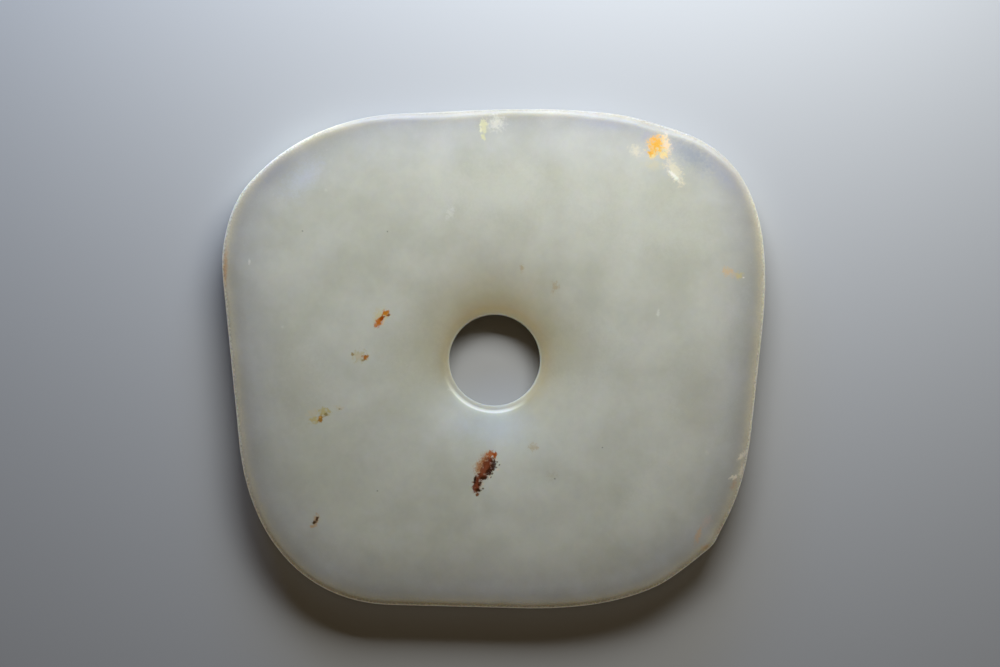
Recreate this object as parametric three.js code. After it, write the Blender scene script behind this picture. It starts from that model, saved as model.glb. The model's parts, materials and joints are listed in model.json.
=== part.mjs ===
// A rounded-square bi disc of pale nephrite, ground thin towards its rim and towards its drilled hole.
// Millimetres, +Z up. The disc lies flat, and the origin is under the middle of its box, on the surface.
// Seen from above, +Y is the straight long edge and +X is to the right.
import * as THREE from 'three';

const { clamp, lerp } = THREE.MathUtils;

// Overall size
const width = 120;
const height = 110.4;
const thickness = 6.6;

// The hole, drilled from both faces so that it is narrowest half way through
const holeRadius = 10.05;
const holeOffsetX = 0.19;
const holeOffsetY = -0.37;
const waistLand = 0.6; // height of the narrow land where the two drillings meet
const lipReach = 1.4; // how far the drilled cone and its worn arris run out from the land
const lipThickness = 1.8; // thickness of the disc at the arris
const lipCurve = 1.5; // 1 makes the drilling a straight cone, and 2 a round lip
const dipReach = 28; // from the land to where the faces become flat
const dipCurve = 3; // 1 makes the dip a cone, and more makes it steeper near the hole

// The rim, measured inwards from the edge
const noseReach = 0.55;
const edgeThickness = 3.4; // thickness where the rounded nose begins
const bevelReach = 1.8;
const bevelThickness = 5; // thickness where the bevel meets the long slope
const slopeReach = 17; // from the edge to where the faces become flat
const slopeCurve = 2; // 1 makes the slope a straight taper, and more bends it towards the rim

// The outline is a leaning four-sided slab with its corners ground round. x and y are the places of the
// unground corners as shares of half the width and height. A curve starts at the share `before` along the
// side that comes to its corner, ends at the share `after` along the next one, and `fullness` says how far
// it keeps towards the corner. Anticlockwise from the upper right.
const corners = [
  { x: 1.09, y: 1.074, before: 0.465, after: 0.585, fullness: 0.78 },
  { x: -1.056, y: 0.944, before: 0.34, after: 0.32, fullness: 0.58 },
  { x: -0.882, y: -0.97, before: 0.335, after: 0.285, fullness: 0.62 },
  { x: 0.88, y: -1.02, before: 0.445, after: 0.355, fullness: 0.7 },
];

// Flats and blunt points that the hand grinding left on the outline. angle is round the hole from +X in
// degrees, spread is each one's half width in degrees, and rise is how far it stands out, or in if negative.
const edgeMarks = [
  { angle: 54, spread: 6, rise: -0.45 },
  { angle: 119, spread: 11.5, rise: 0.25 },
  { angle: 147, spread: 5, rise: 0.35 },
  { angle: 312, spread: 4, rise: -0.25 },
  { angle: 320, spread: 2.5, rise: 0.5 },
];

// How finely the curved surface is divided
const sectors = 108;
const outlineSteps = 400;
const lipSteps = [0, 0.15, 0.4, 0.7];
const dipSteps = [0, 0.12, 0.28, 0.52, 1];
const slopeSteps = [0, 0.35, 0.62, 0.84, 1];
const noseSteps = 3;

// The outline as dense points about the hole's centre, stretched to the disc's own width and height.
function outlinePoints() {
  const places = corners.map((c) => new THREE.Vector2((c.x * width) / 2, (c.y * height) / 2));
  const along = (from, to, share) => from.clone().lerp(to, share);
  const path = new THREE.Path();
  corners.forEach((corner, i) => {
    const here = places[i];
    const previous = places[(i + corners.length - 1) % corners.length];
    const next = places[(i + 1) % corners.length];
    const start = along(here, previous, corner.before);
    const end = along(here, next, corner.after);
    if (i === 0) path.moveTo(start.x, start.y);
    else path.lineTo(start.x, start.y);
    const leave = along(start, here, corner.fullness);
    const arrive = along(end, here, corner.fullness);
    path.bezierCurveTo(leave.x, leave.y, arrive.x, arrive.y, end.x, end.y);
  });
  path.closePath();

  const points = path.getSpacedPoints(outlineSteps).slice(0, -1);
  const box = new THREE.Box2().setFromPoints(points);
  const size = box.getSize(new THREE.Vector2());
  const middle = box.getCenter(new THREE.Vector2());
  const holeCentre = new THREE.Vector2(holeOffsetX, holeOffsetY);
  const stretch = new THREE.Vector2(width, height).divide(size);
  return points.map((p) => p.sub(middle).multiply(stretch).sub(holeCentre));
}

// The smooth outline's distance from the hole's centre at an angle, read between two of its points.
function radiusReader(points) {
  const turn = 2 * Math.PI;
  const polar = points
    .map((p) => ({ angle: (p.angle() + turn) % turn, radius: p.length() }))
    .sort((a, b) => a.angle - b.angle);
  return (angle) => {
    const wanted = ((angle % turn) + turn) % turn;
    let after = polar.findIndex((p) => p.angle > wanted);
    if (after < 0) after = 0;
    const a = polar[(after + polar.length - 1) % polar.length];
    const b = polar[after];
    const span = (b.angle - a.angle + turn) % turn;
    const share = ((wanted - a.angle + turn) % turn) / span;
    return lerp(a.radius, b.radius, share);
  };
}

// How far the hand grinding moves the edge at an angle.
function edgeMark(angle) {
  return edgeMarks.reduce((sum, mark) => {
    const away = THREE.MathUtils.radToDeg(angle) - mark.angle;
    const nearest = ((away + 540) % 360) - 180;
    return sum + mark.rise * Math.exp(-((nearest / mark.spread) ** 2));
  }, 0);
}

// The drilled wall and its worn arris, from the land outwards. half is the height above the middle plane.
function lipStations() {
  return lipSteps.map((share) => {
    const rise = (1 - (1 - share) ** lipCurve) ** (1 / lipCurve);
    return { fromHole: share * lipReach, half: lerp(waistLand, lipThickness, rise) / 2 };
  });
}

// The rounded edge, outwards to its outermost point on the middle plane.
function noseStations() {
  return Array.from({ length: noseSteps + 1 }, (_, i) => {
    const turn = (i / noseSteps) * (Math.PI / 2);
    return { fromRim: noseReach * (1 - Math.sin(turn)), half: (edgeThickness / 2) * Math.cos(turn) };
  });
}

// The face between them is flat, less its dip to the hole and its slope to the rim.
function faceHalf(fromHole, fromRim) {
  const nearHole = clamp((dipReach - fromHole) / (dipReach - lipReach), 0, 1);
  const nearRim = clamp((slopeReach - fromRim) / (slopeReach - bevelReach), 0, 1);
  const dip = (thickness - lipThickness) * nearHole ** dipCurve;
  const slope = (thickness - bevelThickness) * nearRim ** slopeCurve;
  return (thickness - dip - slope) / 2;
}

function faceStations() {
  const alongDip = dipSteps.map((share) => ({ fromHole: lerp(lipReach, dipReach, share) }));
  const alongSlope = slopeSteps.map((share) => ({ fromRim: lerp(slopeReach, bevelReach, share) }));
  return [...alongDip, ...alongSlope];
}

// The section on one spoke as a closed loop: over the upper face to the nose, and back under the lower
// face. A spoke that meets the edge at a slant is lengthened, so that the slope and the bevel keep their
// widths all the way round.
function spokeLoop(edge, slant) {
  const outOf = (s) => (s.fromRim === undefined ? holeRadius + s.fromHole : edge - s.fromRim * slant);
  const placed = (s) => ({ out: outOf(s), half: s.half });
  const face = faceStations().map(outOf).sort((a, b) => a - b);
  const upper = [
    ...lipStations().map(placed),
    ...face.map((out) => ({ out, half: faceHalf(out - holeRadius, (edge - out) / slant) })),
    ...noseStations().map(placed),
  ];
  const nose = upper.pop();
  const middle = thickness / 2;
  return [
    ...upper.map((s) => ({ out: s.out, z: middle + s.half })),
    { out: nose.out, z: middle },
    ...upper.map((s) => ({ out: s.out, z: middle - s.half })).reverse(),
  ];
}

// The section carried round the hole.
function discGeometry() {
  const radiusAt = radiusReader(outlinePoints());
  const step = (2 * Math.PI) / sectors;
  const positions = [];
  let loopLength = 0;
  for (let i = 0; i < sectors; i++) {
    const angle = i * step;
    const radius = radiusAt(angle);
    const turned = (radiusAt(angle + step) - radiusAt(angle - step)) / (2 * step);
    const slant = Math.hypot(radius, turned) / radius;
    const loop = spokeLoop(radius + edgeMark(angle), slant);
    loopLength = loop.length;
    for (const { out, z } of loop) {
      positions.push(holeOffsetX + out * Math.cos(angle), holeOffsetY + out * Math.sin(angle), z);
    }
  }

  const index = [];
  for (let i = 0; i < sectors; i++) {
    for (let j = 0; j < loopLength; j++) {
      const here = i * loopLength;
      const next = ((i + 1) % sectors) * loopLength;
      const up = (j + 1) % loopLength;
      index.push(here + j, here + up, next + up);
      index.push(here + j, next + up, next + j);
    }
  }
  const geometry = new THREE.BufferGeometry();
  geometry.setAttribute('position', new THREE.Float32BufferAttribute(positions, 3));
  geometry.setIndex(index);
  geometry.computeVertexNormals();
  return geometry;
}

const nephrite = new THREE.MeshStandardMaterial({
  name: 'nephrite',
  color: 0xb4b6aa,
  roughness: 0.3,
  metalness: 0,
});

const disc = new THREE.Mesh(discGeometry(), nephrite);
disc.name = 'disc';

const jadeBi = new THREE.Group();
jadeBi.name = 'jade_bi';
jadeBi.add(disc);

export default jadeBi;
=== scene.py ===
# A rounded-square bi disc of pale nephrite, lying on a pale floor and seen from straight above.
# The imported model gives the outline, the hole and the thickness.
import json
import math

import bpy
import numpy as np
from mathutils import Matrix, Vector, noise

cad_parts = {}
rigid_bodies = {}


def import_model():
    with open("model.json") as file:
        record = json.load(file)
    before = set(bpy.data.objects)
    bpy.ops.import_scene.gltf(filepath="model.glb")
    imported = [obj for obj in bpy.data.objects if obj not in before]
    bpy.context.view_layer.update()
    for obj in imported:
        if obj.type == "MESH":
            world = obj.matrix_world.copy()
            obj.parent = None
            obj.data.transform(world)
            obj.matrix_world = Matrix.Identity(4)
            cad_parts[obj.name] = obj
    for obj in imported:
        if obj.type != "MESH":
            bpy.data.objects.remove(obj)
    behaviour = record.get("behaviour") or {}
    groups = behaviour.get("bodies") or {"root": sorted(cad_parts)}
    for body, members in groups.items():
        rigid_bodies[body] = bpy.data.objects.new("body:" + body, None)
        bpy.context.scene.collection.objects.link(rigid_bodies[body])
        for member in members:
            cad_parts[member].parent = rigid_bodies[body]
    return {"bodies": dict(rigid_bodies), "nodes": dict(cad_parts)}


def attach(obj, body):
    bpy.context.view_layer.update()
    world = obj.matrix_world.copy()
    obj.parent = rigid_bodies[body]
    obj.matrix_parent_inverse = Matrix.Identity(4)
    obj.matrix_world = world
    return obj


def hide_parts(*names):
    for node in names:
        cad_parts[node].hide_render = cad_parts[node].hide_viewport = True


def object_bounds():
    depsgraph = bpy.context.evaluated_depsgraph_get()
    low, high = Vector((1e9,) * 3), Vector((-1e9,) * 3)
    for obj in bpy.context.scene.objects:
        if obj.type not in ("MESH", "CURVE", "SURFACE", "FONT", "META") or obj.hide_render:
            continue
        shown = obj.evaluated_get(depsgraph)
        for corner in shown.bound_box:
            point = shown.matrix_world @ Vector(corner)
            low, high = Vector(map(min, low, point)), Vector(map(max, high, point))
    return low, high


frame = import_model()
cadLow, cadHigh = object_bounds()
rootBody = next(iter(frame["bodies"]))
mm = 0.001
print("frame loaded")


# small helpers for the node trees

def hexColour(text):
    parts = [int(text[i:i + 2], 16) / 255 for i in (0, 2, 4)]
    return [p / 12.92 if p <= 0.04045 else ((p + 0.055) / 1.055) ** 2.4 for p in parts] + [1]


def put(tree, socket, value):
    if isinstance(value, bpy.types.NodeSocket):
        tree.links.new(value, socket)
    else:
        socket.default_value = value


def maths(tree, operation, *values):
    node = tree.nodes.new("ShaderNodeMath")
    node.operation = operation
    for socket, value in zip(node.inputs, values):
        put(tree, socket, value)
    return node.outputs[0]


def blendColour(tree, share, under, over, way="MIX"):
    node = tree.nodes.new("ShaderNodeMix")
    node.data_type = "RGBA"
    node.blend_type = way
    put(tree, node.inputs[0], share)
    put(tree, node.inputs[6], under)
    put(tree, node.inputs[7], over)
    return node.outputs[2]


def spread(tree, value, low, high, lowest=0.0, highest=1.0):
    node = tree.nodes.new("ShaderNodeMapRange")
    node.interpolation_type = "SMOOTHSTEP"
    put(tree, node.inputs[0], value)
    for socket, limit in zip(list(node.inputs)[1:5], (low, high, lowest, highest)):
        socket.default_value = limit
    return node.outputs[0]


def speckle(tree, place, scale, detail=3.0, roughness=0.5, distortion=0.0):
    node = tree.nodes.new("ShaderNodeTexNoise")
    tree.links.new(place, node.inputs["Vector"])
    node.inputs["Scale"].default_value = scale
    node.inputs["Detail"].default_value = detail
    node.inputs["Roughness"].default_value = roughness
    node.inputs["Distortion"].default_value = distortion
    return node.outputs["Fac"]


# the stone's form, in millimetres
stoneShape = {
    "sectors": 720,
    "steps": {  # rings of the mesh in each zone, on the upper and on the lower face
        "upper": {"lip": 14, "dip": 24, "flat": 12, "slope": 24, "bevel": 6, "nose": 6},
        "lower": {"lip": 8, "dip": 9, "flat": 6, "slope": 10, "bevel": 5, "nose": 6},
    },
    "profileStep": 0.02,  # how finely the sections are sampled, and how far past their ends
    "profileMargin": 4,
    "waistLand": 0.6,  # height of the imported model's land in the hole
    # the height that the drilling starts with and its rise over its run, below and above the hole
    "lowerWall": (0.2, 0.58),
    "upperWall": (1.0, 0.4),
    "wallTurn": 0.3,  # radians that the flatter wall's middle is turned clockwise from the top
    "highlightCrescent": (0.55, 0.9),  # cosines where the crescent of painted highlight below the hole begins and is full
    "arrisRound": 0.8,  # width over which the worn arris of the hole is rounded
    "lipReach": 1.4,
    "lipThickness": 1.8,
    "dipReach": 28,
    "dipCurve": 3,
    "dipSpacing": 1.2,  # more than 1 sets the rings closer together near the hole
    "noseReach": 0.55,
    "edgeThickness": 3.4,
    "bevelReach": 1.8,
    "bevelThickness": 5.0,
    "slopeReach": 17,
    "slopeCurve": 2,
    "slopeGap": 0.3,  # flat stone that is always left between the dip and the slope
    "bevelPlace": (80, 32, 26),  # degrees: the middle of the crisp bevel, its half width, its fading
    "softEdge": 4.5,  # thickness where the nose begins away from the crisp bevel
    "softening": 0.6,  # how far the polish rounds the bevel's inner edge
    "edgeInset": 0.02,  # keeps the smooth outline inside the faceted one
    "waves": [(17, 0.03), (6, 0.01)],  # length and depth of the hand-ground waves
    "faceShift": 5,  # gives each face waves of its own
    # the bevel's share of its reach, how far that wanders, and where it is wider: angle, spread, share
    "bevelBase": 0.55,
    "bevelWander": 0.12,
    "bevelWidths": [(57, 11, 0.4), (102, 9, 0.2), (150, 20, -0.15)],
    "bevelFade": (2, 6),  # distances from the edge between which the wandering dies out
    "rimWander": 0.03,
    "bevelNoise": (9, 3),  # how fast each wanders round the rim, and its layer of the noise
    "rimNoise": (60, 8),
}


def rimAndHole(node, shape):
    # the faceted model's nose and land give the outline's radii and the hole
    points = np.array([v.co for v in node.data.vertices]) / mm
    middle = (points[:, 2].min() + points[:, 2].max()) / 2
    away = np.linalg.norm(points[:, :2], axis=1)
    inHole = (away < shape["dipReach"]) & (abs(points[:, 2] - middle) < shape["waistLand"])
    land = np.unique(points[inHole][:, :2].round(4), axis=0)
    hole = (land.max(0) + land.min(0)) / 2
    holeRadius = np.linalg.norm(land - hole, axis=1).min()
    onMiddle = abs(points[:, 2] - middle) < 0.01
    nose = points[onMiddle & (away > holeRadius * 2)][:, :2] - hole
    nose = np.unique(nose.round(4), axis=0)
    turns = np.arctan2(nose[:, 1], nose[:, 0]) % math.tau
    order = np.argsort(turns)
    return hole, holeRadius, turns[order], np.linalg.norm(nose, axis=1)[order], middle


def smoothRadii(turns, radii, wanted):
    # a curve through the faceted rim's corners, which are evenly spaced round the hole
    count = len(turns)
    place = (wanted - turns[0]) / math.tau * count
    start = np.floor(place).astype(int)
    t = place - start
    before, here, after, beyond = (radii[(start + k) % count] for k in (-1, 0, 1, 2))
    bend = 2 * before - 5 * here + 4 * after - beyond
    swing = 3 * (here - after) + beyond - before
    return here + 0.5 * t * (after - before + t * (bend + t * swing))


def rounded(half, width, step):
    # a moving mean over an odd number of samples rounds off the corners of a section
    count = int(width / step) | 1
    padded = np.pad(half, count // 2, mode="reflect", reflect_type="odd")
    return np.convolve(padded, np.ones(count) / count, mode="valid")


def holeProfile(reach, shape, thickness, wall):
    # half thickness at a distance from the land in the hole: the drilled cone, then the dipping face
    flat, lip = thickness / 2, shape["lipThickness"] / 2
    step = shape["profileStep"]
    table = np.arange(0, shape["dipReach"] + shape["profileMargin"], step)
    out = np.minimum((table - shape["lipReach"]) / (shape["dipReach"] - shape["lipReach"]), 1)
    face = flat - (flat - lip) * (1 - out) ** shape["dipCurve"]
    start, slope = wall
    cone = start / 2 + slope * table
    return np.interp(reach, table, rounded(np.minimum(cone, face), shape["arrisRound"], step))


def rimProfile(reach, shape, thickness, edgeThickness):
    # half thickness at a distance from the edge
    flat, edge, bevel = thickness / 2, edgeThickness / 2, shape["bevelThickness"] / 2
    step = shape["profileStep"]
    table = np.arange(0, shape["slopeReach"] + shape["profileMargin"], step)
    along = np.clip((table - shape["noseReach"]) / (shape["bevelReach"] - shape["noseReach"]), 0, 1)
    up = np.clip((table - shape["bevelReach"]) / (shape["slopeReach"] - shape["bevelReach"]), 0, 1)
    slope = (flat - bevel) * (1 - up) ** shape["slopeCurve"]
    half = np.where(along < 1, edge + (bevel - edge) * along, flat - slope)
    half = rounded(half, shape["softening"], step)
    turned = np.clip(table / shape["noseReach"], 0, 1)
    half *= np.sqrt(1 - (1 - turned) ** 2)
    return np.interp(reach, table, half)


def sectionRings(shape, thickness, steps):
    # each ring's distance from the land, distance from the edge, share of the way out, and half
    # thickness where the bevel is crisp and where it is soft
    lip = np.linspace(0, shape["lipReach"], steps["lip"], endpoint=False)
    dip = shape["lipReach"] + (shape["dipReach"] - shape["lipReach"]) * np.linspace(
        0, 1, steps["dip"], endpoint=False) ** shape["dipSpacing"]
    inner = np.concatenate([lip, dip])
    flat = np.linspace(0, 1, steps["flat"], endpoint=False)
    slope = np.linspace(shape["slopeReach"], shape["bevelReach"], steps["slope"], endpoint=False)
    bevel = np.linspace(shape["bevelReach"], shape["noseReach"], steps["bevel"], endpoint=False)
    nose = shape["noseReach"] * (1 - np.sin(np.linspace(0, math.pi / 2, steps["nose"])))
    outer = np.concatenate([slope, bevel, nose])
    fromHole = np.concatenate([inner, flat * 0 + shape["dipReach"], outer * 0])
    fromRim = np.concatenate([inner * 0, flat * 0 + shape["slopeReach"], outer])
    share = np.concatenate([inner * 0, flat, outer * 0 + 1])
    halves = [
        np.concatenate([
            inner * 0 + thickness / 2,
            flat * 0 + thickness / 2,
            rimProfile(outer, shape, thickness, edgeThickness),
        ])
        for edgeThickness in (shape["edgeThickness"], shape["softEdge"])
    ]
    return fromHole, fromRim, share, *halves


def wave(x, y, layer):
    return noise.noise(Vector((x, y, layer)))


def waveRound(angles, scale, layer):
    return np.array([wave(math.cos(a) * scale, math.sin(a) * scale, layer) for a in angles])


def degreesFrom(angles, place):
    return (np.degrees(angles) - place + 180) % 360 - 180


def makeStone(shape):
    hole, holeRadius, turns, radii, middle = rimAndHole(frame["nodes"]["disc"], shape)
    thickness = (cadHigh.z - cadLow.z) / mm
    angles = np.arange(shape["sectors"]) / shape["sectors"] * math.tau
    edge = smoothRadii(turns, radii, angles) - shape["edgeInset"]
    step = angles[1] - angles[0]
    slant = np.hypot(1, (np.roll(edge, -1) - np.roll(edge, 1)) / (2 * step) / edge)
    edge = edge - shape["rimWander"] * (1 + waveRound(angles, *shape["rimNoise"]))
    bevelScale = shape["bevelBase"] + shape["bevelWander"] * waveRound(angles, *shape["bevelNoise"])
    for place, reach, wider in shape["bevelWidths"]:
        bevelScale += wider * np.exp(-(degreesFrom(angles, place) / reach) ** 2)
    place, halfWidth, fading = shape["bevelPlace"]
    crisp = np.clip((halfWidth + fading - abs(degreesFrom(angles, place))) / fading, 0, 1)
    crisp = (crisp * crisp * (3 - 2 * crisp))[:, None]

    upper = sectionRings(shape, thickness, shape["steps"]["upper"])
    lower = sectionRings(shape, thickness, shape["steps"]["lower"])
    rings = [np.concatenate([a, b[:-1][::-1]]) for a, b in zip(upper, lower)]
    side = np.concatenate([np.ones(len(upper[0])), -np.ones(len(lower[0]) - 1)])
    fromHole, fromRim, share, crispHalf, softHalf = rings
    half = crisp * crispHalf + (1 - crisp) * softHalf

    # rows are sectors and columns are rings
    fadeStart, fadeEnd = shape["bevelFade"]
    fade = np.clip((fromRim[None] - fadeStart) / (fadeEnd - fadeStart), 0, 1)
    stretched = fromRim[None] * (bevelScale[:, None] * (1 - fade) + fade)
    outer = edge[:, None] - stretched * slant[:, None]
    slopeStart = edge - shape["slopeReach"] * slant
    lipReach, dipReach = shape["lipReach"], shape["dipReach"]
    left = slopeStart - shape["slopeGap"] - holeRadius - lipReach
    room = np.minimum(left / (dipReach - lipReach), 1)[:, None]
    inner = np.where(fromHole > lipReach, lipReach + (fromHole - lipReach) * room, fromHole)
    out = (1 - share) * (holeRadius + inner) + share * outer
    upperHalf = np.broadcast_to(0.5 + 0.5 * np.sin(angles + shape["wallTurn"])[:, None], out.shape)
    upperDip, lowerDip = (
        holeProfile(out - holeRadius, shape, thickness, shape[wall]) - thickness / 2
        for wall in ("upperWall", "lowerWall")
    )
    half = half + upperHalf * upperDip + (1 - upperHalf) * lowerDip
    x = hole[0] + out * np.cos(angles)[:, None]
    y = hole[1] + out * np.sin(angles)[:, None]
    z = half * side

    # shallow hand-ground waves, always inwards
    inside = np.clip(half / (thickness / 2), 0, 1)
    for length, depth in shape["waves"]:
        dents = np.array([
            wave(px / length, py / length, s * shape["faceShift"] + length)
            for px, py, s in zip(x.ravel(), y.ravel(), np.broadcast_to(side, x.shape).ravel())
        ]).reshape(x.shape)
        z -= side * inside * depth * (1 + dents)

    places = np.stack([x, y, z + middle], -1).reshape(-1, 3) * mm
    count, columns = x.shape
    i, j = np.meshgrid(np.arange(count), np.arange(columns), indexing="ij")
    nextI, nextJ = (i + 1) % count, (j + 1) % columns
    corners = [(i, j), (i, nextJ), (nextI, nextJ), (nextI, j)]
    faces = np.stack([row * columns + column for row, column in corners], -1)
    mesh = bpy.data.meshes.new("jadeDisc")
    mesh.from_pydata(places.tolist(), [], faces.reshape(-1, 4).tolist())
    mesh.shade_smooth()
    rimDistance = (edge[:, None] - out) / slant[:, None]
    holeDistance = out - holeRadius
    crispBevel = np.broadcast_to(crisp, out.shape)
    begins, full = shape["highlightCrescent"]
    highlightCrescent = np.clip((1 - 2 * upperHalf - begins) / (full - begins), 0, 1)
    for name, values in (
        ("rimDistance", rimDistance), ("holeDistance", holeDistance),
        ("crispBevel", crispBevel), ("upperHalf", upperHalf), ("highlightCrescent", highlightCrescent),
    ):
        layer = mesh.attributes.new(name, "FLOAT", "POINT")
        layer.data.foreach_set("value", values.astype(np.float32).ravel())
    stone = bpy.data.objects.new("jadeDisc", mesh)
    bpy.context.scene.collection.objects.link(stone)
    return stone


# stains of the stone: each layer has its blobs (x, y, half length and half width in millimetres, turn in
# degrees), then how ragged and how soft its edge is, its colour and its strength
stains = {
    "russetBlotch": [
        ([(-2.81, -23.54, 2.87, 1.88, 62), (-3.47, -27.74, 2.43, 1.44, 80),
          (-1.04, -21.33, 1.77, 1.44, 0)],
         0.42, 0.8, "d8bc96", 0.7),
        ([(-1.93, -22.32, 2.2, 1.6, 60), (-3.03, -24, 2.4, 1.55, 62)], 0.4, 0.9, "b2733a", 0.88),
        ([(-1.35, -23.6, 3.0, 1.8, 62), (-3.2, -26.2, 1.6, 1.2, 50), (-3.7, -27.85, 2.4, 1.1, 86)],
         0.4, 0.7, "8c4620", 0.9),
        ([(-1.7, -24.09, 2.32, 1.46, 60), (-2.15, -25.97, 1.44, 0.93, 35),
          (-3.65, -27.74, 2.17, 1.02, 82), (-2.8, -25.7, 1.2, 0.95, 60), (-0.71, -22.21, 1.11, 1, 70)],
         0.48, 0.5, "7c3c20", 0.95),
        ([(-2.04, -24.4, 1.6, 1, 62), (-3.69, -28.07, 1, 0.55, 84)], 0.72, 0.7, "9a5a3c", 0.75),
        ([(-0.71, -21.06, 1.06, 0.84, 60)], 0.54, 0.5, "bb6b38", 0.9),
        ([(0.24, -21.24, 0.75, 0.55, 80)], 0.54, 0.4, "b45a08", 0.95),
        ([(-0.11, -23.36, 1.59, 0.75, 78), (-0.93, -24.93, 1.02, 0.8, 40),
          (-2.08, -26.3, 1.11, 0.53, 10), (-2.99, -27.3, 1.24, 0.38, 75),
          (-4.09, -26.64, 0.97, 0.33, 80), (-3.34, -28.93, 0.71, 0.53, 0)],
         0.66, 0.5, "3a1604", 0.9),
        ([(-3.56, -29.82, 0.66, 0.53, 0)], 0.48, 0.5, "865321", 0.9),
        ([(0.59, -22.12, 0.53, 0.29, 70), (0.84, -24.42, 0.62, 0.35, 20),
          (-0.78, -25.97, 0.53, 0.31, 50), (-2.24, -27.61, 0.49, 0.33, 0)],
         0.54, 0.7, "f0dcc0", 0.6),
        ([(0.79, -22.72, 0.33, 0.18, 0), (1.24, -23.38, 0.33, 0.2, 45),
          (0.57, -23.94, 0.35, 0.2, 0), (-0.31, -25.31, 0.44, 0.27, 50),
          (-0.6, -26.1, 0.35, 0.2, 60), (-2.37, -28.58, 0.38, 0.31, 0)],
         0.24, 0.6, "5a4420", 0.85),
    ],
    "ochrePatch": [
        ([(31.3, 45.6, 2.4, 1.9, -30)], 0.5, 1, "efe8d2", 0.75),
        ([(35.22, 42.8, 2.9, 1.8, 0)], 0.5, 1, "e0d6b0", 0.5),
        ([(39.8, 41.3, 4.5, 1.9, -57)], 0.5, 0.8, "efe6cc", 0.8),
        ([(39.7, 40.2, 2.4, 0.6, -45)], 0.4, 0.8, "fffdf0", 0.85),
        ([(33.45, 48.99, 2.43, 1.11, 40)], 0.6, 0.9, "b4b6c8", 0.4),
        ([(37.9, 46.9, 3.3, 1.7, 105)], 0.45, 0.8, "f7e6cc", 0.85),
        ([(35.9, 46.9, 2.9, 2.8, 0), (37.4, 45.01, 1.66, 1.44, 0), (34.78, 44.89, 1.55, 1.33, 0)],
         0.55, 0.8, "ffe2a0", 0.9),
        ([(35.7, 47.2, 2.1, 2.3, -20), (34.5, 45.3, 0.9, 0.8, 0)], 0.65, 0.8, "ffbe48", 0.9),
    ],
    "creamInclusion": [
        ([(0.51, 51.75, 2.87, 2.43, 0)], 0.48, 1, "eae8dc", 0.75),
        ([(-2.24, 51.09, 2.32, 1.11, 93), (-2.32, 48.76, 1.02, 0.49, 118)], 0.54, 0.6, "e2dfb8", 0.85),
        ([(-2.83, 50.42, 1.66, 0.33, 95)], 0.36, 0.7, "f2f1d4", 0.6),
    ],
    "russetComma": [
        ([(-24.92, 9.52, 2.65, 1.88, 45)], 0.48, 0.9, "dccf9c", 0.75),
        ([(-23.68, 10.03, 1.02, 0.91, 20)], 0.54, 0.5, "d88a08", 0.95),
        ([(-23.15, 9.65, 0.44, 0.31, 70), (-24.1, 9.27, 0.38, 0.27, 0)], 0.48, 0.5, "8a5006", 0.85),
        ([(-25.3, 8.0, 1.5, 0.97, 62), (-24.66, 8.83, 0.8, 0.66, 55)], 0.36, 0.6, "d07800", 0.95),
        ([(-24.61, 8.92, 0.7, 0.48, 55)], 0.48, 0.5, "a84c02", 0.85),
        ([(-24.21, 8.12, 1.24, 0.27, 63)], 0.36, 0.6, "efd3a6", 0.6),
    ],
    "russetFleck": [
        ([(-29.56, 0.67, 2.1, 1.55, 0)], 0.66, 0.7, "ccc298", 0.75),
        ([(-29.72, 0.52, 1.06, 0.71, 0)], 0.6, 0.7, "d9ceb6", 0.8),
        ([(-28.28, 0.38, 0.75, 0.66, 0)], 0.6, 0.5, "bc7410", 0.95),
        ([(-31.02, 1.09, 0.51, 0.4, 80), (-28.68, -0.3, 0.42, 0.31, 0)], 0.48, 0.6, "a8905c", 0.8),
    ],
    "ochreCluster": [
        ([(-39.63, -12.04, 1.77, 1.44, 0), (-33.99, -10.83, 1.22, 0.66, 0)], 0.9, 0.8, "d8cfb4", 0.75),
        ([(-37.3, -11.78, 1.77, 1.22, 0), (-39.38, -13.46, 1.33, 1, 0)], 0.66, 0.6, "cdbf82", 0.85),
        ([(-38.08, -13.24, 0.88, 0.64, 80)], 0.6, 0.45, "b4822a", 0.95),
        ([(-36.95, -12.26, 0.66, 0.4, 70), (-33.88, -11.05, 0.4, 0.24, 0)], 0.6, 0.6, "94803c", 0.75),
        ([(-38.19, -12.88, 0.31, 0.24, 0)], 0.3, 0.6, "ebb75e", 0.9),
    ],
    "lowerStreak": [
        ([(-39.07, -35.52, 1.88, 0.75, 80), (-40, -36.98, 0.62, 0.49, 0)], 0.54, 0.7, "d0ae80", 0.8),
        ([(-38.85, -35.21, 0.71, 0.35, 68), (-39.38, -35.99, 0.57, 0.4, 20)], 0.48, 0.5, "573510", 0.95),
    ],
    "rightLobes": [
        ([(52.91, 18.47, 2.21, 1.11, -20)], 0.6, 0.9, "dccbb2", 0.6),
        ([(51.27, 19.36, 1.55, 1.33, 0)], 0.66, 0.8, "e3c99e", 0.8),
        ([(54.24, 18.25, 1.15, 1.06, 0)], 0.66, 0.8, "d8cc92", 0.75),
        ([(54.97, 17.85, 0.33, 0.27, 0)], 0.24, 0.6, "f6f1e4", 0.8),
    ],
}

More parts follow.
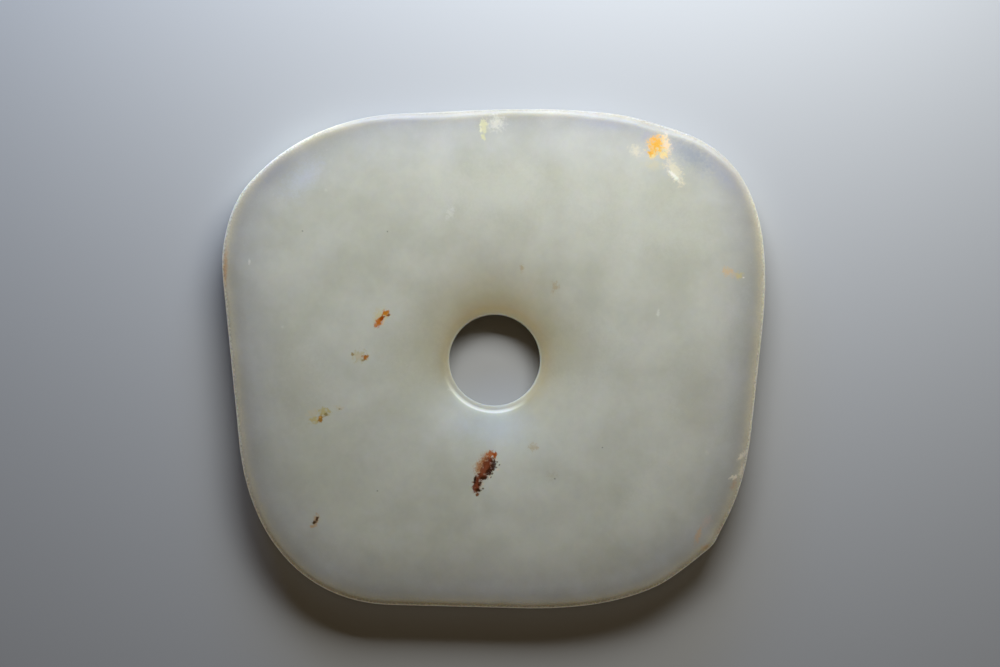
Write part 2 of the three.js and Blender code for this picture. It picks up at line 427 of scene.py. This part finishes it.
# faint marks far apart, written in the same way
scatteredMarks = [
    ([(-9.55, 32.07, 1.77, 1.33, 80)], 0.6, 0.9, "ebebe2", 0.5),
    ([(36.17, 10.07, 1.11, 0.44, 85), (-53.78, 21.35, 1, 0.35, 88)], 0.5, 0.8, "ecece2", 0.7),
    ([(-9.55, -6.96, 1.11, 0.55, 0), (-46.37, 6.97, 0.66, 0.44, 0),
      (46.94, -20.67, 0.77, 0.77, 0), (-36.86, 37.05, 0.55, 0.44, 0)],
     0.5, 1, "e6e6da", 0.5),
    ([(45.06, -38.8, 2.87, 0.88, 72), (46.61, -41.56, 1.55, 0.8, 35)], 0.5, 0.9, "dcb98c", 0.65),
    ([(46.94, -35.7, 2.21, 1.55, 60)], 0.4, 1, "d6c2b6", 0.5),
    ([(50.04, -37.69, 2.21, 0.88, 55), (52.91, -27.74, 1.99, 0.88, 65)], 0.5, 1, "cda886", 0.5),
    ([(54.68, -21.22, 1.55, 0.62, 45), (54.57, -24.87, 1.88, 0.57, 75),
      (52.8, -26.08, 1.11, 0.57, 20)],
     0.8, 0.8, "f1e8d4", 0.85),
    ([(6.14, 19.91, 0.97, 0.71, 80), (8.8, -19.56, 1.19, 1.02, 0),
      (13.55, 15.71, 1.55, 1.02, 80)],
     0.8, 0.8, "bfa878", 0.5),
    ([(-23.37, 27.98, 0.27, 0.24, 0), (-25.58, -29.07, 0.27, 0.24, 0),
      (-42.06, 28.09, 0.27, 0.24, 0), (23.94, -19.56, 0.29, 0.24, 0),
      (13.44, -26.41, 0.35, 0.29, 0)],
     0.2, 0.8, "77776a", 0.75),
    ([(12.89, -25.75, 1.77, 1.55, 0)], 0.6, 1, "b9b094", 0.3),
]

# wide soft clouds inside the stone, and patches of painted light and shade, in the same way
cloudsAndPaintedShading = [
    ([(32.35, 30.63, 23.22, 9.95, -15), (1.39, 36.16, 19.9, 9.95, 0)], 0.25, 1, "e9e9e0", 0.3),
    # painted light: cooler and lighter below the hole, where the face dips towards the lamps
    ([(0.29, -14.92, 13, 6.5, 0)], 0.2, 1, "d8e0e2", 0.4),
    ([(45.61, -13.59, 13.27, 3.54, 55), (35.66, -24.65, 15.48, 3.1, 50),
      (50.04, 6.31, 13.27, 3.1, 60)],
     0.5, 1, "e4e2d6", 0.3),
    # painted shade: darker and bluer along the upper rim, where the stone is thin
    ([(51.2, 40.2, 11.5, 3.4, -47), (24.83, 51.9, 13.71, 2.2, -8),
      (-20.72, 52.6, 15.48, 1.8, 3), (-48.6, 41.6, 12, 3.6, 42)],
     0.3, 1, "bbc0cf", 0.38),
    ([(-42, 39.5, 9, 4, 42)], 0.3, 1, "e2e8f0", 0.4),
    ([(43.5, 44.8, 8, 3.6, -38)], 0.3, 1, "a6aeb6", 0.55),
    # painted shade: the disc's sides darker, away from the lamps above
    ([(-16.5, 1.5, 13, 10, 0), (18.5, 1, 15, 10, 0), (-43, -6, 14, 9, 90), (45, -8, 17, 9, 90)],
     0.2, 1, "b2af98", 0.3),
    ([(-59.1, 20.02, 7.5, 0.8, 88)], 0.3, 1, "d6a878", 0.6),
]


nephrite = {
    # each noise has its scale, detail and roughness, and its edges are the values that it fades between
    "body": ("cfcfbf", "d6d6c9"),  # the two tones of the stone's slow clouds
    "clouds": (0.07, 4, 0.55, 0.4),  # the last number is their distortion
    "cloudEdges": (0.35, 0.65),
    "mottles": [(0.13, 0.035), (0.6, 0.014)],  # scale and strength of the smaller clouds
    "mottleNoise": (3, 0.6),
    "mottleEdges": (0.3, 0.7),
    "specks": (3.2, 2, 0.5),
    "speckEdges": (0.66, 0.74),
    "speckStrength": 0.18,
    "speckColour": "f4f3ea",
    "grain": (2.6, 3, 0.6),
    "grainEdges": (0.3, 0.7),
    "grainDepth": 0.04,  # millimetres
    "faceGrain": 0.1,  # share of the bevel's grain that the faces have
    "stainGrain": (1.5, 5, 0.75),
    "stainEdges": (0.25, 0.75),
    "faceHeights": (2.4, 4.0),  # between them the underside's fainter stains turn into the upper face's
    "undersideStains": 0.35,
    "ior": 1.61,
    "scatter": (1.0, 0.8, 0.5),
    "scatterDepth": 3.0,  # millimetres
    "roughness": 0.3,
    "bevelRoughness": 0.6,
    "bevelBand": (1.0, 2.6),  # millimetres from the edge where the crisp bevel's rough band ends
    "rimRagged": 0.3,  # millimetres
    "paintedEdgeGlow": (0.1, 0.5, 0.1),  # painted glow, by emission: from where to where at the thin edge, and how much
    "paintedGlowColour": (1, 0.94, 0.86, 1),
    # painted light and shade where the stone is ground thin, by the distance from the rim and from the
    # hole: a bright line at the very edge, then darker and bluer on the thin stone
    "paintedRimShading": [(0, (1.5, 1.46, 1.4)), (0.3, (1.42, 1.36, 1.28)), (0.6, (1.06, 0.98, 0.92)),
                (1.0, (0.96, 0.90, 0.85)), (1.4, (0.89, 0.84, 0.79)), (2, (0.80, 0.77, 0.77)),
                (3, (0.76, 0.75, 0.80)), (5, (0.84, 0.84, 0.90)), (8, (0.93, 0.93, 0.97)),
                (14, (1, 1, 1))],
    # painted shade: the crisp bevel, which faces the lamps, toned down, then darker and bluer on the
    # thin stone
    "paintedBevelShade": [(0, (0.61, 0.58, 0.60)), (0.3, (0.64, 0.61, 0.63)), (0.6, (0.76, 0.73, 0.75)),
                  (1.2, (0.78, 0.76, 0.79)), (2.2, (0.78, 0.77, 0.82)), (3, (0.82, 0.82, 0.90)),
                  (5, (0.90, 0.90, 0.97)), (8, (0.95, 0.95, 1.0)), (14, (1, 1, 1))],
    # painted glow on the thin lip above the hole, then painted olive shade on the face that dips away
    # from the lamps
    "paintedUpperHoleShading": [(0, (1.45, 1.36, 1.2)), (0.25, (1.3, 1.18, 0.98)), (0.55, (1.06, 0.92, 0.68)),
                      (1.6, (1.02, 0.88, 0.64)), (2.4, (1.0, 0.90, 0.73)), (4, (0.98, 0.93, 0.79)),
                      (6, (1.0, 0.97, 0.88)), (9, (1.0, 0.98, 0.94)), (14, (1, 1, 1))],
    # painted shade round the lip below the hole and at its sides
    "paintedLowerHoleShade": [(0, (0.90, 0.88, 0.84)), (0.4, (0.78, 0.74, 0.66)), (1.6, (0.78, 0.75, 0.67)),
                      (4, (0.91, 0.90, 0.86)), (8, (0.98, 0.98, 0.96)), (14, (1, 1, 1))],
    # painted highlight on the worn arris below the hole, darker on the wall inside it
    "paintedCrescentShading": [(0, (0.74, 0.74, 0.74)), (0.5, (0.72, 0.71, 0.72)), (0.8, (0.68, 0.68, 0.69)),
                     (1.05, (1.08, 1.08, 1.08)), (1.45, (1.58, 1.59, 1.59)), (1.75, (1.02, 1.05, 1.07)),
                     (2.4, (0.94, 0.97, 1.01)), (4, (0.94, 0.95, 0.99)), (6, (0.97, 0.98, 1.02)),
                     (14, (1, 1, 1))],
}


def millimetres(tree):
    coordinates = tree.nodes.new("ShaderNodeTexCoord")
    scaled = tree.nodes.new("ShaderNodeVectorMath")
    scaled.operation = "SCALE"
    scaled.inputs["Scale"].default_value = 1 / mm
    tree.links.new(coordinates.outputs["Object"], scaled.inputs[0])
    return scaled.outputs[0]


def meshValue(tree, name):
    reader = tree.nodes.new("ShaderNodeAttribute")
    reader.attribute_name = name
    return reader.outputs["Fac"]


def tintRamp(tree, distance, stops):
    ramp = tree.nodes.new("ShaderNodeValToRGB")
    reach = stops[-1][0]
    tree.links.new(maths(tree, "DIVIDE", distance, reach), ramp.inputs[0])
    elements = ramp.color_ramp.elements
    for place, _ in stops[1:-1]:
        elements.new(place / reach)
    for element, (_, tint) in zip(elements, stops):
        element.color = (*tint, 1)
    return ramp.outputs[0]


def blobField(tree, flatPlace, blobs):
    # 1 at a blob's middle and 0 at its edge
    field = None
    for x, y, length, width, turn in blobs:
        mapping = tree.nodes.new("ShaderNodeMapping")
        mapping.vector_type = "TEXTURE"
        mapping.inputs["Location"].default_value = (x, y, 0)
        mapping.inputs["Rotation"].default_value = (0, 0, math.radians(turn))
        mapping.inputs["Scale"].default_value = (length, width, 1)
        tree.links.new(flatPlace, mapping.inputs["Vector"])
        away = tree.nodes.new("ShaderNodeVectorMath")
        away.operation = "LENGTH"
        tree.links.new(mapping.outputs[0], away.inputs[0])
        inside = maths(tree, "SUBTRACT", 1.0, away.outputs["Value"])
        field = inside if field is None else maths(tree, "MAXIMUM", field, inside)
    return field


def addStains(tree, body, place, look, layers):
    flatten = tree.nodes.new("ShaderNodeVectorMath")
    flatten.operation = "MULTIPLY"
    flatten.inputs[1].default_value = (1, 1, 0)
    tree.links.new(place, flatten.inputs[0])
    flatPlace = flatten.outputs[0]
    height = tree.nodes.new("ShaderNodeSeparateXYZ")
    tree.links.new(place, height.inputs[0])
    upperFace = spread(tree, height.outputs["Z"], *look["faceHeights"], look["undersideStains"], 1)
    grain = spread(tree, speckle(tree, place, *look["stainGrain"]), *look["stainEdges"], -1, 1)
    for blobs, ragged, soft, colour, strength in layers:
        field = maths(tree, "MULTIPLY_ADD", grain, ragged, blobField(tree, flatPlace, blobs))
        mask = maths(tree, "MULTIPLY", spread(tree, field, 0, soft, 0, strength), upperFace)
        body = blendColour(tree, mask, body, hexColour(colour))
    return body


def makeNephrite(name, look, layers):
    material = bpy.data.materials.new(name)
    material.use_nodes = True
    tree = material.node_tree
    shader = tree.nodes["Principled BSDF"]
    place = millimetres(tree)

    clouds = spread(tree, speckle(tree, place, *look["clouds"]), *look["cloudEdges"])
    body = blendColour(tree, clouds, *[hexColour(tone) for tone in look["body"]])
    for scale, strength in look["mottles"]:
        mottle = speckle(tree, place, scale, *look["mottleNoise"])
        mottle = spread(tree, mottle, *look["mottleEdges"], 1 - strength, 1 + strength)
        body = blendColour(tree, 1.0, body, mottle, "MULTIPLY")
    body = addStains(tree, body, place, look, cloudsAndPaintedShading)

    grain = speckle(tree, place, *look["grain"])
    ragged = spread(tree, grain, *look["grainEdges"], -look["rimRagged"], look["rimRagged"])
    rim = maths(tree, "ADD", meshValue(tree, "rimDistance"), ragged)
    crisp = meshValue(tree, "crispBevel")
    # painted light and shade along the rim, by the distance from it; the crisp bevel has its own
    paintedRimShading = blendColour(tree, crisp, tintRamp(tree, rim, look["paintedRimShading"]),
                          tintRamp(tree, rim, look["paintedBevelShade"]))
    body = blendColour(tree, 1.0, body, paintedRimShading, "MULTIPLY")
    # painted light and shade round the hole, split between its upper and lower side, with a painted
    # highlight in the crescent below it
    hole = meshValue(tree, "holeDistance")
    above, below, crescentShading = (
        tintRamp(tree, hole, look[name]) for name in ("paintedUpperHoleShading", "paintedLowerHoleShade", "paintedCrescentShading")
    )
    paintedHoleShading = blendColour(tree, meshValue(tree, "upperHalf"), below, above)
    paintedHoleShading = blendColour(tree, meshValue(tree, "highlightCrescent"), paintedHoleShading, crescentShading)
    body = blendColour(tree, 1.0, body, paintedHoleShading, "MULTIPLY")

    specks = speckle(tree, place, *look["specks"])
    specks = spread(tree, specks, *look["speckEdges"], 0, look["speckStrength"])
    body = blendColour(tree, specks, body, hexColour(look["speckColour"]))
    body = addStains(tree, body, place, look, layers)

    onBevel = maths(tree, "MULTIPLY", crisp, spread(tree, rim, *look["bevelBand"], 1, 0))
    bump = tree.nodes.new("ShaderNodeBump")
    tree.links.new(grain, bump.inputs["Height"])
    bump.inputs["Distance"].default_value = look["grainDepth"] * mm
    faceGrain, smooth = look["faceGrain"], look["roughness"]
    strength = maths(tree, "MULTIPLY_ADD", onBevel, 1 - faceGrain, faceGrain)
    tree.links.new(strength, bump.inputs["Strength"])

    tree.links.new(body, shader.inputs["Base Color"])
    tree.links.new(bump.outputs[0], shader.inputs["Normal"])
    rough = maths(tree, "MULTIPLY_ADD", onBevel, look["bevelRoughness"] - smooth, smooth)
    tree.links.new(rough, shader.inputs["Roughness"])
    shader.inputs["IOR"].default_value = look["ior"]
    shader.inputs["Subsurface Weight"].default_value = 1.0
    shader.inputs["Subsurface Radius"].default_value = look["scatter"]
    shader.inputs["Subsurface Scale"].default_value = look["scatterDepth"] * mm
    # painted glow: emission brightens a thin line along the soft edge, away from the crisp bevel
    shader.inputs["Emission Color"].default_value = look["paintedGlowColour"]
    atEdge = spread(tree, meshValue(tree, "rimDistance"), *look["paintedEdgeGlow"], 0)
    paintedGlow = maths(tree, "MULTIPLY", atEdge, maths(tree, "SUBTRACT", 1.0, crisp))
    tree.links.new(paintedGlow, shader.inputs["Emission Strength"])
    material.cycles.emission_sampling = "NONE"  # too faint to light anything else
    return material


def dressStone(stone, look):
    # the same stone everywhere, and a material of its own round each stain to keep the node trees short
    mesh = stone.data
    mesh.materials.append(makeNephrite("paleNephrite", look, scatteredMarks))
    centres = np.empty(len(mesh.polygons) * 3, np.float32)
    mesh.polygons.foreach_get("center", centres)
    centres = centres.reshape(-1, 3)[:, :2] / mm
    slots = np.zeros(len(mesh.polygons), np.int32)
    for index, (name, layers) in enumerate(stains.items(), 1):
        mesh.materials.append(makeNephrite(name, look, layers))
        # a ragged blob reaches up to twice as far as its half length
        blobs = np.array([blob for layer in layers for blob in layer[0]])
        middle = (blobs[:, :2].min(0) + blobs[:, :2].max(0)) / 2
        reach = (np.linalg.norm(blobs[:, :2] - middle, axis=1) + 2 * blobs[:, 2]).max()
        slots[np.linalg.norm(centres - middle, axis=1) < reach + 1] = index
    mesh.polygons.foreach_set("material_index", slots)


studio = {
    "pixelsPerMm": 4.5226,  # of the photograph, on the plane half way through the disc
    "imageSize": (1000, 667),
    "discCentre": (493.71, 358.54),  # pixel of the middle of the disc's box
    "lens": 100,
    "sensor": 36,
    "clip": (0.01, 20),
    "floorColour": "c2c4c6",
    "floorRoughness": 0.9,
    "floorReach": 3.0,
    "sky": (0.057, (1, 0.72, 0.40)),  # strength and colour
    "lamps": {  # place, size, power and colour
        "keyLamp": ((0.0388, 0.1825, 0.1196), (0.20, 0.08), 0.54, (0.99, 1, 0.97)),
        "coolLamp": ((-0.0306, 0.2907, 0.0705), (0.30, 0.05), 0.68, (0.38, 0.58, 1)),
    },
}


def makeCamera(look):
    camera = bpy.data.cameras.new("topCamera")
    camera.lens, camera.sensor_width = look["lens"], look["sensor"]
    camera.clip_start, camera.clip_end = look["clip"]
    viewer = bpy.data.objects.new("topCamera", camera)
    width, height = look["imageSize"]
    across = width / look["pixelsPerMm"] * mm
    x = (width / 2 - look["discCentre"][0]) / look["pixelsPerMm"] * mm
    y = (look["discCentre"][1] - height / 2) / look["pixelsPerMm"] * mm
    middle = (cadLow + cadHigh) / 2
    viewer.location = middle + Vector((x, y, across * look["lens"] / look["sensor"]))
    bpy.context.scene.collection.objects.link(viewer)
    bpy.context.scene.camera = viewer


def makeLamp(name, place, size, power, colour):
    lamp = bpy.data.lights.new(name, "AREA")
    lamp.shape = "RECTANGLE"
    lamp.size, lamp.size_y = size
    lamp.energy = power
    lamp.color = colour
    holder = bpy.data.objects.new(name, lamp)
    holder.location = place
    holder.rotation_euler = (-Vector(place)).to_track_quat("-Z", "Y").to_euler()  # aimed at the disc
    holder.visible_camera = False
    holder.visible_glossy = False  # the polish would mirror the whole lamp from low in front
    bpy.context.scene.collection.objects.link(holder)


def makeFloor(look):
    mesh = bpy.data.meshes.new("floor")
    reach = look["floorReach"]
    corners = [(-reach, -reach, 0), (reach, -reach, 0), (reach, reach, 0), (-reach, reach, 0)]
    mesh.from_pydata(corners, [], [(0, 1, 2, 3)])
    floor = bpy.data.objects.new("floor", mesh)
    material = bpy.data.materials.new("floorPaper")
    material.use_nodes = True
    shader = material.node_tree.nodes["Principled BSDF"]
    shader.inputs["Base Color"].default_value = hexColour(look["floorColour"])
    shader.inputs["Roughness"].default_value = look["floorRoughness"]
    mesh.materials.append(material)
    bpy.context.scene.collection.objects.link(floor)


def makeStudio(look):
    makeCamera(look)
    makeFloor(look)
    for name, lamp in look["lamps"].items():
        makeLamp(name, *lamp)
    world = bpy.data.worlds.new("studio")
    world.use_nodes = True
    background = world.node_tree.nodes["Background"]
    strength, colour = look["sky"]
    background.inputs["Color"].default_value = (*colour, 1)
    background.inputs["Strength"].default_value = strength
    bpy.context.scene.world = world
    bpy.context.scene.view_settings.view_transform = "Standard"


makeStudio(studio)
print("studio ready")

stone = makeStone(stoneShape)
dressStone(stone, nephrite)
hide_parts("disc")
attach(stone, rootBody)
print("stone ready,", len(stone.data.polygons) * 2, "triangles")
